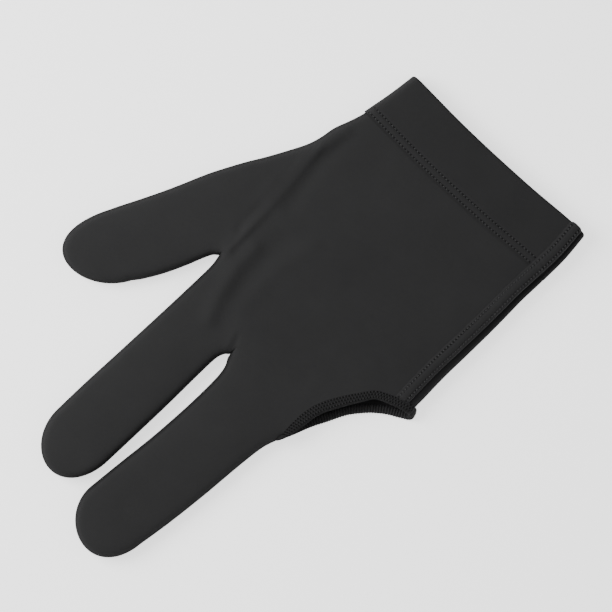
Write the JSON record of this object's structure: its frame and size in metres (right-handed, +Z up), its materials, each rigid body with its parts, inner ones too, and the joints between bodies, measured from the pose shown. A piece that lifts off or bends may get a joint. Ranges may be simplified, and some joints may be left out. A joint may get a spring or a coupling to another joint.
{
  "type": "billiard glove",
  "caption": "Stretch-cloth cue glove laid flat: covered thumb, index and middle fingers, open hole for the other two, hemmed wrist with double stitching.",
  "frame": {"origin": "on the surface the glove lies on, under the centre of its outline", "axes": "+Y from the wrist rim to the fingertips, +X to the thumb side, +Z up out of the back of the hand"},
  "size_m": [0.137, 0.22, 0.0098],
  "materials": {
    "stretch_cloth": "matte fine black knit",
    "stretch_cloth_shaded": "matte fine black knit, palm side",
    "seam_band": "matte black knit, double stitched",
    "edging": "matte black overlocked edging"
  },
  "bodies": {
    "root": {"upper_panel": "stretch_cloth", "upper_middle": "stretch_cloth", "upper_index": "stretch_cloth", "upper_thumb": "stretch_cloth", "lower_panel": "stretch_cloth_shaded", "lower_middle": "stretch_cloth_shaded", "lower_index": "stretch_cloth_shaded", "lower_thumb": "stretch_cloth_shaded", "wrist_cuff": "stretch_cloth", "side_seam_band": "seam_band", "opening_edging": "edging"}
  },
  "joints": []
}
